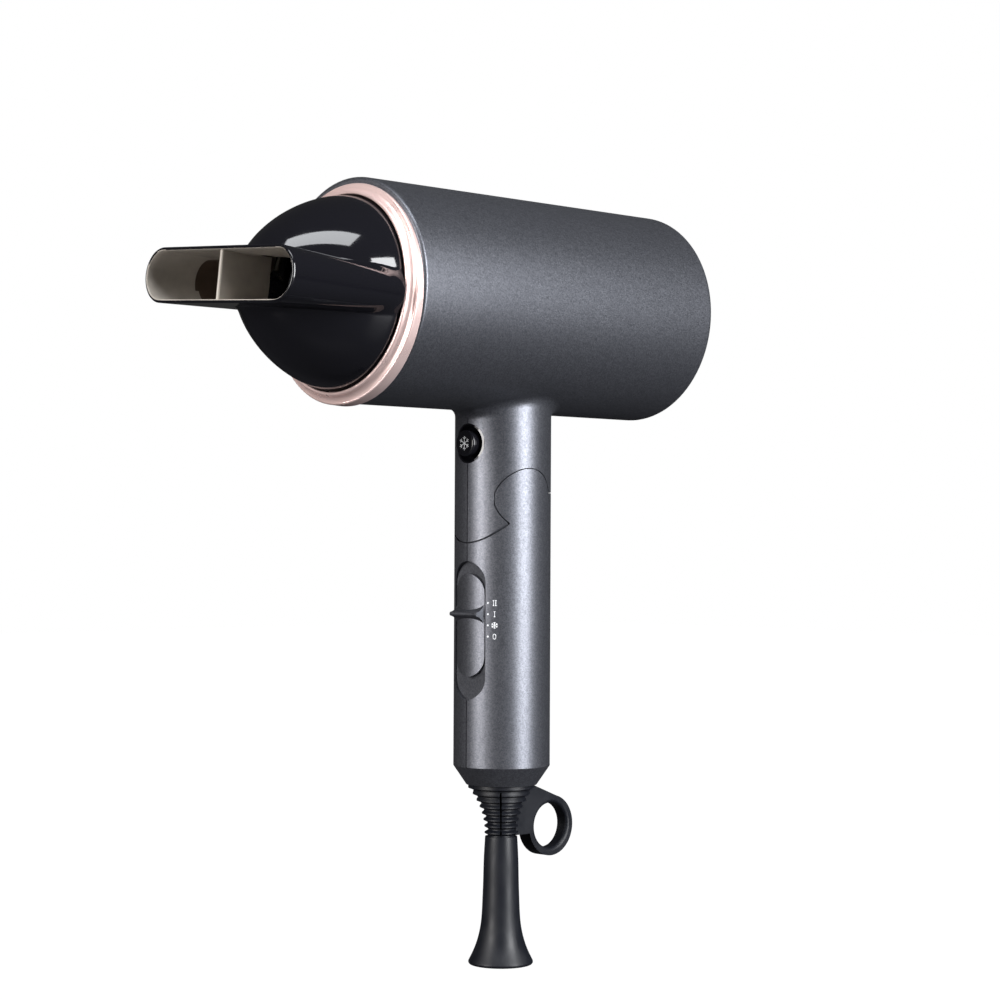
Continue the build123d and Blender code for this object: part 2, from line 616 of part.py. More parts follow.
# ---------------------------------------------------------------- handle
with BuildPart() as handle:
    with BuildSketch(Plane.XZ):
        Polygon(
            (0, HANDLE_FOOT), (HANDLE_FOOT_RADIUS, HANDLE_FOOT), (HANDLE_RADIUS, HANDLE_CHAMFER_TOP),
            (HANDLE_RADIUS, NECK_REAR_EDGE - GAP), (0, NECK_REAR_EDGE - GAP), align=None,
        )
    revolve(axis=Axis.Z)
    foot_edges = handle.edges().group_by(Axis.Z)
    fillet([foot_edges[0][0]], 0.6)
    add(handle_rod(HANDLE_CHAMFER_TOP, HINGE_Z + 10, HANDLE_RADIUS - WALL), mode=Mode.SUBTRACT)
    # thicker wall behind the switch recess
    pad = handle_rod(RECESS_BOTTOM - 4, RECESS_TOP + 0.8) & side_prism(
        [(PAD_BACK, 80), (30, 80), (30, 160), (PAD_BACK, 160)], half_width=RECESS_WIDTH / 2 + 1.5
    )
    add(pad)
    # everything inside the fold surface, then the ears
    fold_cut = fold_disc(GAP) & side_prism(
        [(-HINGE_Y, 140), (40, 140), (40, 220), (-HINGE_Y, 220)]
    )
    add(fold_cut, mode=Mode.SUBTRACT)
    add(ear_discs(EAR_RADIUS, EAR_INNER + GAP) & handle_rod(HINGE_Z - 20, HINGE_Z + 20))
    with BuildSketch(Plane.YZ):
        with Locations((HINGE_Y, HINGE_Z)):
            Circle(PIN_RADIUS)
    extrude(amount=PIN_REACH, both=True, mode=Mode.SUBTRACT)
    # switch recess with the slot for the knob's stem
    with BuildSketch(facing_front(-RECESS_FLOOR)):
        with Locations((0, (RECESS_BOTTOM + RECESS_TOP) / 2)):
            SlotOverall(RECESS_TOP - RECESS_BOTTOM, RECESS_WIDTH, rotation=90)
    extrude(amount=10, mode=Mode.SUBTRACT)
    with BuildSketch(facing_front(-10)):
        with Locations((0, KNOB_RIDGE_Z + (SLIDER_UP - SLIDER_DOWN) / 2)):
            Rectangle(STEM_WIDTH + 0.8, STEM_HEIGHT + SLIDER_UP + SLIDER_DOWN + 1)
    extrude(amount=10, mode=Mode.SUBTRACT)
    # cord passage in the foot
    add(handle_rod(HANDLE_FOOT - 1, HANDLE_CHAMFER_TOP + 1, GUARD_STEM), mode=Mode.SUBTRACT)
    # screw bosses across the seam, their pockets from the left and their holes
    for z in HANDLE_SCREWS_Z:
        with BuildSketch(Plane.YZ):
            with Locations((HANDLE_SCREWS_Y, z)):
                Circle(SCREW_HEAD + 1.2)
        extrude(amount=12.5, both=True)
        with BuildSketch(Plane.YZ):
            with Locations((HANDLE_SCREWS_Y, z)):
                Circle(SCREW_SHANK)
        extrude(amount=8, both=True, mode=Mode.SUBTRACT)
        with BuildSketch(Plane.YZ.offset(-8)):
            with Locations((HANDLE_SCREWS_Y, z)):
                Circle(SCREW_HEAD)
        extrude(amount=-12, mode=Mode.SUBTRACT)
    # seam groove down the front and back
    with BuildSketch(Plane.XY.offset(HANDLE_CHAMFER_TOP)):
        for side in (1, -1):
            with Locations((0, side * HANDLE_RADIUS)):
                Rectangle(SEAM_WIDTH, 2 * SEAM_DEPTH)
    extrude(amount=NECK_REAR_EDGE - HANDLE_CHAMFER_TOP, mode=Mode.SUBTRACT)

for side, name in ((-1, "handle_left"), (1, "handle_right")):
    with BuildPart() as handle_half:
        add(handle.part)
        add(half_space(side), mode=Mode.INTERSECT)
    save(handle_half.part, name)

with BuildPart() as hinge_pin:
    with BuildSketch(Plane.YZ):
        with Locations((HINGE_Y, HINGE_Z)):
            Circle(PIN_RADIUS)
    extrude(amount=PIN_REACH, both=True)
save(hinge_pin.part, "hinge_pin")

with BuildPart() as handle_screws:
    for z in HANDLE_SCREWS_Z:
        add(pan_screw(-9.6, 14, HANDLE_SCREWS_Y, z))
save(handle_screws.part, "handle_screws")

# ---------------------------------------------------------------- switch and control board
recess_middle = (KNOB_BOTTOM + KNOB_TOP) / 2
knob_back = -RECESS_FLOOR - 0.3
# thumb ridge: a bar across the knob with hollow flanks
with BuildPart() as knob_ridge:
    with BuildSketch(Plane.YZ):
        with BuildLine():
            Polyline((-16.2, -3.6), (knob_back, -3.6), (knob_back, 3.6), (-16.2, 3.6))
            ThreePointArc((-16.2, 3.6), (-17.2, 2.0), (-KNOB_RIDGE_RADIUS, 0.7))
            ThreePointArc(
                (-KNOB_RIDGE_RADIUS, 0.7), (-KNOB_RIDGE_RADIUS - 0.3, 0), (-KNOB_RIDGE_RADIUS, -0.7),
            )
            ThreePointArc((-KNOB_RIDGE_RADIUS, -0.7), (-17.2, -2.0), (-16.2, -3.6))
        make_face()
    extrude(amount=KNOB_WIDTH / 2 - 0.3, both=True)
with BuildPart() as switch_knob:
    with BuildSketch(facing_front(knob_back)):
        with Locations((0, recess_middle)):
            SlotOverall(KNOB_TOP - KNOB_BOTTOM, KNOB_WIDTH, rotation=90)
    extrude(amount=10)
    add(handle_rod(KNOB_BOTTOM, KNOB_TOP, HANDLE_RADIUS - 0.3), mode=Mode.INTERSECT)
    add(Pos(0, 0, KNOB_RIDGE_Z) * knob_ridge.part)
    with BuildSketch(facing_front(-13.2)):
        with Locations((0, KNOB_RIDGE_Z)):
            Rectangle(STEM_WIDTH, STEM_HEIGHT)
    extrude(amount=RECESS_FLOOR + 0.5 - 13.2)
save(switch_knob.part, "switch_knob")

with BuildPart() as switch_carrier:
    with BuildSketch(facing_front(-11.5)):
        with Locations((0, KNOB_RIDGE_Z)):
            Rectangle(10, 15)
    extrude(amount=1.7)
save(switch_carrier.part, "switch_carrier")

with BuildPart() as slide_switch:
    with BuildSketch(facing_front(-BOARD_BACK - BOARD_THICK)):
        with Locations((0, (RECESS_BOTTOM + RECESS_TOP) / 2)):
            Rectangle(11, 40)
    extrude(amount=SWITCH_FRONT - BOARD_BACK - BOARD_THICK)
    fillet(slide_switch.edges().filter_by(Axis.Y), 1)
save(slide_switch.part, "slide_switch")

with BuildPart() as control_board:
    with BuildSketch(facing_front(-BOARD_BACK)):
        with Locations((0, 122)):
            Rectangle(24, 56)
    extrude(amount=BOARD_THICK)
save(control_board.part, "control_board")

# ---------------------------------------------------------------- cord guard and sleeve
rib_pitch = (HANDLE_FOOT - GUARD_BOTTOM) / RIB_COUNT
loop_tangent = (LOOP_Y + LOOP_OUTER * cos(radians(WEB_SLOPE)), LOOP_Z + LOOP_OUTER * sin(radians(WEB_SLOPE)))
with BuildPart() as cord_guard:
    with BuildSketch(Plane.XZ):
        with BuildLine():
            outline = [(CORD_BORE, HANDLE_FOOT), (COLLAR_DISC, HANDLE_FOOT)]
            for rib in range(RIB_COUNT):
                share = rib / (RIB_COUNT - 1)
                tip = GUARD_BOTTOM_RADIUS + (COLLAR_DISC - GUARD_BOTTOM_RADIUS) * (1 - share) ** 2.1
                top = HANDLE_FOOT - rib * rib_pitch
                outline += [
                    (tip, top - 0.3 * rib_pitch), (tip, top - 0.5 * rib_pitch),
                    (tip - RIB_GROOVE - 0.6 * (1 - share), top - 0.8 * rib_pitch),
                    (tip - RIB_GROOVE - 0.6 * (1 - share), top - rib_pitch),
                ]
            outline += [(CORD_BORE, GUARD_BOTTOM)]
            Polyline(*outline, close=True)
        make_face()
    revolve(axis=Axis.Z)
    # slits across the ribs
    with BuildSketch(Plane.XY.offset(GUARD_BOTTOM - 1)):
        for turn in (45, 135):
            Rectangle(40, SLIT_WIDTH, rotation=turn)
        Circle(GUARD_BOTTOM_RADIUS - RIB_GROOVE - 0.2, mode=Mode.SUBTRACT)
    extrude(amount=HANDLE_FOOT - GUARD_BOTTOM - rib_pitch + 1.2, mode=Mode.SUBTRACT)
    # hanging loop and its web
    with BuildSketch(Plane.YZ):
        with Locations((LOOP_Y, LOOP_Z)):
            Circle(LOOP_OUTER)
        Polygon(
            (GUARD_STEM, HANDLE_FOOT - 0.3), (COLLAR_DISC - 0.3, HANDLE_FOOT - 0.3), loop_tangent,
            (LOOP_Y, LOOP_Z), (12.6, GUARD_BOTTOM + 0.2), (GUARD_STEM, GUARD_BOTTOM + 0.2), align=None,
        )
        with Locations((LOOP_Y, LOOP_Z)):
            Circle(LOOP_HOLE, mode=Mode.SUBTRACT)
    extrude(amount=LOOP_THICK / 2, both=True)
    hole_edges = cord_guard.edges().filter_by(GeomType.CIRCLE).filter_by(
        lambda edge: abs(edge.radius - LOOP_HOLE) < 0.01
    )
    fillet(hole_edges, LOOP_ROUND)
    # stem through the handle's foot, and the flange that holds it there
    add(handle_rod(HANDLE_FOOT, HANDLE_CHAMFER_TOP + 2.5, GUARD_STEM))
    add(handle_rod(HANDLE_CHAMFER_TOP, HANDLE_CHAMFER_TOP + 2.5, 8.5))
    add(handle_rod(GUARD_BOTTOM, HANDLE_CHAMFER_TOP + 2.5, CORD_BORE), mode=Mode.SUBTRACT)
save(cord_guard.part, "cord_guard")

with BuildPart() as bell_sleeve:
    with BuildSketch(Plane.XZ):
        with BuildLine():
            Line((CORD_BORE, GUARD_BOTTOM), (SLEEVE_TOP_RADIUS, GUARD_BOTTOM))
            Spline(
                (SLEEVE_TOP_RADIUS, GUARD_BOTTOM), (6.45, 39), (6.67, 30), (6.9, 23.6), (7.5, 14.7),
                (8.4, 10.2), (9.9, 5.7), (10.9, 3.5), (SLEEVE_FOOT_RADIUS, 1.3),
                tangents=((0.06, -1), (0.5, -1)),
            )
            ThreePointArc((SLEEVE_FOOT_RADIUS, 1.3), (SLEEVE_FOOT_RADIUS - 0.15, 0.35), (11.1, 0))
            Polyline((11.1, 0), (CORD_BORE, 0), (CORD_BORE, GUARD_BOTTOM))
        make_face()
    revolve(axis=Axis.Z)
save(bell_sleeve.part, "bell_sleeve")

with BuildPart() as cord_clamp:
    with BuildSketch(Plane.XY.offset(HANDLE_CHAMFER_TOP + 3.2)):
        with Locations((0, -5)):
            Rectangle(16, 7)
    extrude(amount=3)
save(cord_clamp.part, "cord_clamp")
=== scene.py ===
import json
import math

import bmesh
import bpy
from mathutils import Matrix, Vector


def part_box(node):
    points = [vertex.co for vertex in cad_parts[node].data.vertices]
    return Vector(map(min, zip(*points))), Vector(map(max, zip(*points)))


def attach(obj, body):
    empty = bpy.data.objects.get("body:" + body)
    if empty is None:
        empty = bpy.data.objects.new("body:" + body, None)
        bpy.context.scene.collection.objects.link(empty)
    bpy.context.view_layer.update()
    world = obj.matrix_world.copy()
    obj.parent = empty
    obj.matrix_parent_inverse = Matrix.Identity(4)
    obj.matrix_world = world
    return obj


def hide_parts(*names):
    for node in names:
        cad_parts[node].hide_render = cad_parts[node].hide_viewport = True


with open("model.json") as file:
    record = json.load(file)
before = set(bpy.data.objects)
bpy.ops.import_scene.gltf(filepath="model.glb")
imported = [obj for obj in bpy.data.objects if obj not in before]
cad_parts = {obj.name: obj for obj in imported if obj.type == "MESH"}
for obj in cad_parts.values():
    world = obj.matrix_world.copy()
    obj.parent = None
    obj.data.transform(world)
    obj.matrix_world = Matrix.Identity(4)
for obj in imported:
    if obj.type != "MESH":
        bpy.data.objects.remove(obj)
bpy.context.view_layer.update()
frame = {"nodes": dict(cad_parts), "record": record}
MM = 0.001

# ---------------------------------------------------------------- places taken from the frame
barrel_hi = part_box("housing_right")[1]
handle_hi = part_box("handle_right")[1]
button_lo, button_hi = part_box("cool_button")
BARREL_RADIUS = 40.0
OUTLET_DROP = 1.5          # the outlet's axis under the barrel's
OUTLET_Z = barrel_hi.z / MM - BARREL_RADIUS - OUTLET_DROP
BUTTON_Z = (button_lo.z + button_hi.z) / 2 / MM
HANDLE_R = handle_hi.x / MM


# ---------------------------------------------------------------- mesh helpers (millimetres in)
def mesh_object(name, verts, faces, sharp=32.0, looks=None):
    mesh = bpy.data.meshes.new(name)
    mesh.from_pydata([(x * MM, y * MM, z * MM) for x, y, z in verts], [], faces)
    mesh.update()
    work = bmesh.new()
    work.from_mesh(mesh)
    bmesh.ops.remove_doubles(work, verts=work.verts, dist=2e-6)
    bmesh.ops.recalc_face_normals(work, faces=work.faces)
    work.to_mesh(mesh)
    work.free()
    mesh.shade_smooth()
    mesh.set_sharp_from_angle(angle=math.radians(sharp))
    for material in looks or ():
        mesh.materials.append(material)
    obj = bpy.data.objects.new(name, mesh)
    bpy.context.scene.collection.objects.link(obj)
    return obj


def grid_faces(rows, columns):
    """Quads between closed rows of points."""
    faces = []
    for r in range(rows - 1):
        for c in range(columns):
            d = (c + 1) % columns
            faces.append((r * columns + c, r * columns + d, (r + 1) * columns + d, (r + 1) * columns + c))
    return faces


def arc(cx, cy, radius, start, end, steps=6):
    """Points on a circle from one angle to another, in degrees."""
    return [(cx + radius * math.cos(math.radians(start + (end - start) * i / steps)),
             cy + radius * math.sin(math.radians(start + (end - start) * i / steps)))
            for i in range(steps + 1)]


# ---------------------------------------------------------------- node helpers
def new_material(name):
    material = bpy.data.materials.new(name)
    material.use_nodes = True
    nodes = material.node_tree.nodes
    return material, nodes, material.node_tree.links, nodes["Principled BSDF"]


def set_base(shader, colour, metallic=0.0, roughness=0.5, coat=0.0, coat_roughness=0.05, ior=1.5):
    shader.inputs["Base Color"].default_value = (*colour, 1)
    shader.inputs["Metallic"].default_value = metallic
    shader.inputs["Roughness"].default_value = roughness
    shader.inputs["Coat Weight"].default_value = coat
    shader.inputs["Coat Roughness"].default_value = coat_roughness
    shader.inputs["IOR"].default_value = ior


def noise(nodes, links, scale, detail=2.0, coordinate=None, roughness=0.5):
    texture = nodes.new("ShaderNodeTexNoise")
    texture.inputs["Scale"].default_value = scale
    texture.inputs["Detail"].default_value = detail
    texture.inputs["Roughness"].default_value = roughness
    if coordinate is None:
        coordinate = nodes.new("ShaderNodeTexCoord").outputs["Object"]
    links.new(coordinate, texture.inputs["Vector"])
    return texture.outputs["Fac"]


def cells(nodes, links, scale):
    texture = nodes.new("ShaderNodeTexVoronoi")
    texture.inputs["Scale"].default_value = scale
    links.new(nodes.new("ShaderNodeTexCoord").outputs["Object"], texture.inputs["Vector"])
    return texture


def spread(nodes, links, value, low, high, from_low=0.0, from_high=1.0):
    node = nodes.new("ShaderNodeMapRange")
    node.inputs["From Min"].default_value = from_low
    node.inputs["From Max"].default_value = from_high
    node.inputs["To Min"].default_value = low
    node.inputs["To Max"].default_value = high
    links.new(value, node.inputs["Value"])
    return node.outputs["Result"]


def mixed_colour(nodes, links, factor, first, second):
    node = nodes.new("ShaderNodeMix")
    node.data_type = "RGBA"
    links.new(factor, node.inputs["Factor"])
    for socket, value in ((node.inputs["A"], first), (node.inputs["B"], second)):
        if isinstance(value, tuple):
            socket.default_value = (*value, 1)
        else:
            links.new(value, socket)
    return node.outputs["Result"]


def bumped(nodes, links, shader, height, strength, distance):
    bump = nodes.new("ShaderNodeBump")
    bump.inputs["Strength"].default_value = strength
    bump.inputs["Distance"].default_value = distance
    links.new(height, bump.inputs["Height"])
    links.new(bump.outputs["Normal"], shader.inputs["Normal"])


def metallic_paint(name):
    """Satin space-grey paint with a fine metal flake."""
    material, nodes, links, shader = new_material(name)
    set_base(shader, (0.11, 0.115, 0.13), 0.80, 0.38)
    flake = cells(nodes, links, 2300)
    value = nodes.new("ShaderNodeSeparateColor")
    links.new(flake.outputs["Color"], value.inputs["Color"])
    dark, light = (0.092, 0.096, 0.110), (0.148, 0.153, 0.172)
    fine = mixed_colour(nodes, links, value.outputs["Red"], dark, light)
    cloud = noise(nodes, links, 60, 3)
    drift = spread(nodes, links, cloud, 0.0, 0.12, 0.3, 0.7)
    paint = mixed_colour(nodes, links, drift, fine, (0.096, 0.101, 0.119))
    links.new(paint, shader.inputs["Base Color"])
    links.new(spread(nodes, links, value.outputs["Green"], 0.36, 0.46), shader.inputs["Roughness"])
    bumped(nodes, links, shader, value.outputs["Blue"], 0.12, 0.00003)
    return material


def gloss_black(name, roughness=0.06):
    material, nodes, links, shader = new_material(name)
    set_base(shader, (0.006, 0.006, 0.008), 0.0, roughness, 0.0, 0.03, 1.52)
    smear = noise(nodes, links, 45, 4)
    uneven = spread(nodes, links, smear, roughness * 0.7, roughness * 1.8, 0.35, 0.75)
    links.new(uneven, shader.inputs["Roughness"])
    bumped(nodes, links, shader, noise(nodes, links, 220, 1), 0.03, 0.00002)
    return material


def rose_gold(name):
    material, nodes, links, shader = new_material(name)
    set_base(shader, (0.90, 0.70, 0.66), 0.6, 0.3)
    smear = noise(nodes, links, 120, 3)
    links.new(spread(nodes, links, smear, 0.26, 0.36, 0.3, 0.7), shader.inputs["Roughness"])
    tint = spread(nodes, links, noise(nodes, links, 30, 2), 0.0, 1.0, 0.3, 0.7)
    gold = mixed_colour(nodes, links, tint, (0.93, 0.68, 0.64), (0.97, 0.75, 0.71))
    links.new(gold, shader.inputs["Base Color"])
    bumped(nodes, links, shader, noise(nodes, links, 900, 2), 0.04, 0.00002)
    return material


def rubber(name):
    material, nodes, links, shader = new_material(name)
    set_base(shader, (0.006, 0.007, 0.010), 0.0, 0.42)
    shader.inputs["Specular IOR Level"].default_value = 0.32
    dust = spread(nodes, links, noise(nodes, links, 90, 4), 0.0, 1.0, 0.35, 0.75)
    black = mixed_colour(nodes, links, dust, (0.005, 0.006, 0.009), (0.009, 0.010, 0.014))
    links.new(black, shader.inputs["Base Color"])
    uneven = spread(nodes, links, noise(nodes, links, 160, 3), 0.36, 0.52, 0.3, 0.7)
    links.new(uneven, shader.inputs["Roughness"])
    bumped(nodes, links, shader, noise(nodes, links, 2600, 2), 0.12, 0.00003)
    return material


def moulded(name, colour, roughness=0.5, grain=1800, strength=0.15):
    """Plain moulded plastic with a fine spark-eroded grain."""
    material, nodes, links, shader = new_material(name)
    set_base(shader, colour, 0.0, roughness)
    patch = spread(nodes, links, noise(nodes, links, 70, 3), 0.0, 1.0, 0.3, 0.7)
    darker = tuple(0.8 * c for c in colour)
    lighter = tuple(min(1.0, 1.2 * c) for c in colour)
    links.new(mixed_colour(nodes, links, patch, darker, lighter), shader.inputs["Base Color"])
    grain_noise = noise(nodes, links, 300, 2)
    uneven = spread(nodes, links, grain_noise, roughness - 0.07, roughness + 0.08, 0.3, 0.7)
    links.new(uneven, shader.inputs["Roughness"])
    bumped(nodes, links, shader, noise(nodes, links, grain, 2), strength, 0.00004)
    return material


def metal(name, colour, roughness=0.3, stretch=(1, 1, 30)):
    """Drawn or turned metal with fine lines across its length."""
    material, nodes, links, shader = new_material(name)
    set_base(shader, colour, 1.0, roughness)
    mapping = nodes.new("ShaderNodeMapping")
    mapping.inputs["Scale"].default_value = stretch
    links.new(nodes.new("ShaderNodeTexCoord").outputs["Object"], mapping.inputs["Vector"])
    lines = noise(nodes, links, 300, 3, mapping.outputs["Vector"])
    uneven = spread(nodes, links, lines, roughness - 0.1, roughness + 0.12, 0.3, 0.7)
    links.new(uneven, shader.inputs["Roughness"])
    tone = spread(nodes, links, lines, 0.0, 1.0, 0.3, 0.7)
    drawn = mixed_colour(nodes, links, tone, tuple(0.85 * c for c in colour), colour)
    links.new(drawn, shader.inputs["Base Color"])
    bumped(nodes, links, shader, lines, 0.08, 0.00003)
    return material


PAINT = metallic_paint("grey_paint")
BLACK = gloss_black("gloss_black")
GOLD = rose_gold("rose_gold")
RUBBER = rubber("black_rubber")
PLASTIC = moulded("black_plastic", (0.02, 0.02, 0.023), 0.5)
STEEL = metal("steel", (0.62, 0.62, 0.63), 0.3)
BRASS = metal("brass", (0.72, 0.55, 0.25), 0.3)
BOARD = moulded("board_green", (0.03, 0.16, 0.08), 0.45, 900, 0.1)
MICA = moulded("mica", (0.50, 0.46, 0.37), 0.55, 700, 0.3)
# painted light inside the nozzle: a light warm grey stands in for the lit walls near the mouth, and a
# dark brown is painted shade deeper in the duct
PAINTED_LIT_GREY = moulded("painted_lit_grey", (0.42, 0.385, 0.34), 0.42, 900, 0.1)
PAINTED_SHADE_DEEP = moulded("painted_shade_deep", (0.09, 0.062, 0.045), 0.4, 900, 0.1)
MARK = moulded("mark_ink", (0.80, 0.82, 0.85), 0.5, 2500, 0.05)
materials = {"grey_paint": PAINT, "gloss_black": BLACK, "rose_gold": GOLD, "black_rubber": RUBBER,
             "black_plastic": PLASTIC, "steel": STEEL, "brass": BRASS, "board_green": BOARD, "mica": MICA}


def finish_piece(obj, body, slot_name, material=None, replaces=()):
    if not obj.data.materials:
        obj.data.materials.append(material or materials[slot_name])
    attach(obj, body)
    if replaces:
        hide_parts(*replaces)
    return obj


# every CAD node that stays in view carries its slot's material
for part in frame["record"]["subparts"]:
    node = frame["nodes"][part["node"]]
    node.data.materials.clear()
    node.data.materials.append(materials[part["material_slot"]])

# ---------------------------------------------------------------- nozzle
TURN = math.radians(4.1)
LEAN = math.radians(3.2)
LEAN_Y = -78.5
MOUTH_Y = -133.5
MOUTH_HALF = 41.6
MOUTH_TALL = 9.7
MOUTH_RISE = -0.75
REAR_Y = -81.1
REAR_HALF = 36.5
REAR_TALL = 7.5
DOME_START, DOME_LENGTH, DOME_POWER, DOME_BASE = -80.6, 41.4, 1.6, 34.3
DUCT_FILLET = 3.0
REAR_LIP_Y = -68.6
WALL = 1.2
PAINTED_SHADE_START_Y = -113.5      # the painted light on the front of the duct's inside ends here, and painted shade begins
POINTS_ROUND = 420


def leaned(x, y, z):
    """A point given level about the outlet's axis, turned and leaned up with the nozzle."""
    x, z = x * math.cos(TURN) + z * math.sin(TURN), z * math.cos(TURN) - x * math.sin(TURN)
    y -= LEAN_Y
    return (x, LEAN_Y + y * math.cos(LEAN) + z * math.sin(LEAN),
            OUTLET_Z + z * math.cos(LEAN) - y * math.sin(LEAN))


def slot_reach(angle, half, tall, rise, centre_rise):
    """Distance from the section's centre to the edge of a stadium, at an angle."""
    dx, dz = math.cos(angle), math.sin(angle)
    cz = rise - centre_rise
    flat = half - tall
    best = 0.0
    if abs(dz) > 1e-9:
        t = ((tall if dz > 0 else -tall) + cz) / dz
        if abs(t * dx) <= flat:
            best = t
    for side in (1, -1):
        b = dx * side * flat + dz * cz
        c = flat * flat + cz * cz - tall * tall
        root = b * b - c
        if root >= 0:
            t = b + math.sqrt(root)
            if t > best and t * dx * side >= flat - 1e-6:
                best = t
    return best


def dome_radius(y, shrink=0.0):
    if y >= DOME_START:
        return DOME_BASE - shrink
    share = (DOME_START - y) / (DOME_LENGTH - shrink)
    if share >= 1:
        return 0.0
    return (DOME_BASE - shrink) * (1 - share ** DOME_POWER) ** (1 / DOME_POWER)


def smooth_max(a, b, k):
    """The larger of two lengths, with a fillet where they cross."""
    h = max(k - abs(a - b), 0.0) / k
    return max(a, b) + h * h * k * 0.25


def nozzle_section(y, angle, shrink=0.0):
    share = (y - REAR_Y) / (MOUTH_Y - REAR_Y)
    share = min(max(share, 0.0), 1.0)
    half = REAR_HALF + (MOUTH_HALF - REAR_HALF) * share - shrink
    tall = REAR_TALL + (MOUTH_TALL - REAR_TALL) * share - shrink
    rise = MOUTH_RISE * share
    reach = slot_reach(angle, half, tall, rise, rise)
    if y > REAR_Y:
        reach = 0.0
    # the dome seen from the duct's centre, which rises towards the mouth
    radius = dome_radius(y, shrink)
    inside = radius * radius - (rise * math.cos(angle)) ** 2
    round_reach = -rise * math.sin(angle) + math.sqrt(inside) if inside > 0 else 0.0
    return smooth_max(reach, round_reach, DUCT_FILLET), rise


def nozzle_rows(stations, shrink, count):
    rows = []
    for y in stations:
        row = []
        for i in range(count):
            a = 2 * math.pi * i / count
            # more points round the narrow ends of the slot
            a = a - 0.42 * math.sin(2 * a)
            reach, rise = nozzle_section(y, a, shrink)
            x, z = reach * math.cos(a), rise + reach * math.sin(a)
            row.append((x, y, z))
        rows.append(row)
    return rows


def lerp_rows(a, b, t):
    return [tuple(p + (q - p) * t for p, q in zip(m, n)) for m, n in zip(a, b)]


outer_y = [REAR_LIP_Y, -74.0, -78.0, -80.5, -81.05, -81.11]
step = -81.4
while step > MOUTH_Y + 1.0:
    outer_y.append(step)
    step -= 0.45 if step > -121 else 0.8
outer_y.append(MOUTH_Y + 0.5)
outer = nozzle_rows(outer_y, 0.0, POINTS_ROUND)
inner_y = [MOUTH_Y + 0.5, MOUTH_Y + 3, -125, -120, -117, -114.2, -112.8, -110, -105, -100, -95, -90]
inner_y += [-86, -83, -80, -74, REAR_LIP_Y]
inner = nozzle_rows(inner_y, WALL, POINTS_ROUND)
outer_end, inner_start = outer[-1], inner[0]
lip = []
for share, depth in ((0.12, 0.28), (0.3, 0.45), (0.5, 0.5), (0.7, 0.45), (0.88, 0.28)):
    lip.append([(x, y - depth, z) for x, y, z in lerp_rows(outer_end, inner_start, share)])
rows = outer + lip + inner
verts = [leaned(*p) for row in rows for p in row]
faces = grid_faces(len(rows), POINTS_ROUND)
last = (len(rows) - 1) * POINTS_ROUND
for i in range(POINTS_ROUND):
    j = (i + 1) % POINTS_ROUND
    faces.append((last + i, last + j, j, i))
nozzle_shell = mesh_object("nozzle_shell", verts, faces, 50, (BLACK, PAINTED_LIT_GREY, PAINTED_SHADE_DEEP))
for face in nozzle_shell.data.polygons:
    # faces of the inner skin look towards the duct's centre
    across = Vector((face.center.x, 0, face.center.z - (OUTLET_Z + MOUTH_RISE) * MM))
    beside = abs(face.normal.y) < 0.8 and face.center.y < -0.086
    if beside and across.length < 0.0436 and face.normal.dot(across.normalized()) < -0.05:
        # inner faces near the mouth take the painted lit grey, deeper ones the painted shade
        face.material_index = 1 if face.center.y < PAINTED_SHADE_START_Y * MM else 2
finish_piece(nozzle_shell, "nozzle", "gloss_black", BLACK, ("nozzle",))

# divider across the mouth: a thin plate with a rounded front edge, coloured with the painted light grey
# of the duct's inside
half_thick, depth, tall = 0.8, 21.0, MOUTH_TALL - 1.0
plan = [(half_thick, depth)]
plan += arc(0, half_thick, half_thick, 0, -180, 8)
plan.append((-half_thick, depth))
verts = []
for level in (-1, 1):
    for px, py in plan:
        x, z = px, MOUTH_RISE + level * tall
        verts.append(leaned(x, MOUTH_Y + 1.0 + py, z))
n = len(plan)
faces = [(i, (i + 1) % n, n + (i + 1) % n, n + i) for i in range(n)]
faces += [tuple(range(n)), tuple(range(2 * n - 1, n - 1, -1))]
divider = mesh_object("nozzle_divider", verts, faces, 40)
finish_piece(divider, "nozzle", "gloss_black", PAINTED_LIT_GREY)

# ---------------------------------------------------------------- printed marks
def ribbon(points, width, place):
    """Flat stroke along points (across, up), laid on the surface by place()."""
    verts = []
    for i, (u, v) in enumerate(points):
        before, after = points[max(i - 1, 0)], points[min(i + 1, len(points) - 1)]
        du, dv = after[0] - before[0], after[1] - before[1]
        long = math.hypot(du, dv) or 1.0
        for side in (-0.5, 0.5):
            verts.append(place(u - dv / long * width * side, v + du / long * width * side))
    return verts, [(2 * i, 2 * i + 1, 2 * i + 3, 2 * i + 2) for i in range(len(points) - 1)]


def strokes_object(name, strokes, width, place):
    verts, faces = [], []
    for points in strokes:
        more, quads = ribbon(points, width, place)
        faces += [tuple(k + len(verts) for k in quad) for quad in quads]
        verts += more
    return mesh_object(name, verts, faces)


def snowflake(radius, barb):
    """Six arms, each with a pair of barbs."""
    strokes = []
    for arm in range(6):
        a = math.radians(30 + 60 * arm)
        strokes.append([(0.0, 0.0), (radius * math.cos(a), radius * math.sin(a))])
        root = (0.58 * radius * math.cos(a), 0.58 * radius * math.sin(a))
        for side in (-1, 1):
            b = a + side * math.radians(48)
            strokes.append([root, (root[0] + barb * math.cos(b), root[1] + barb * math.sin(b))])
    return strokes


def on_handle(azimuth, z):
    """Places a mark on the handle's surface at an angle from the front."""
    def place(u, v):
        a = math.radians(azimuth) + u / HANDLE_R
        reach = HANDLE_R + 0.05
        return (reach * math.sin(a), -reach * math.cos(a), z + v)
    return place


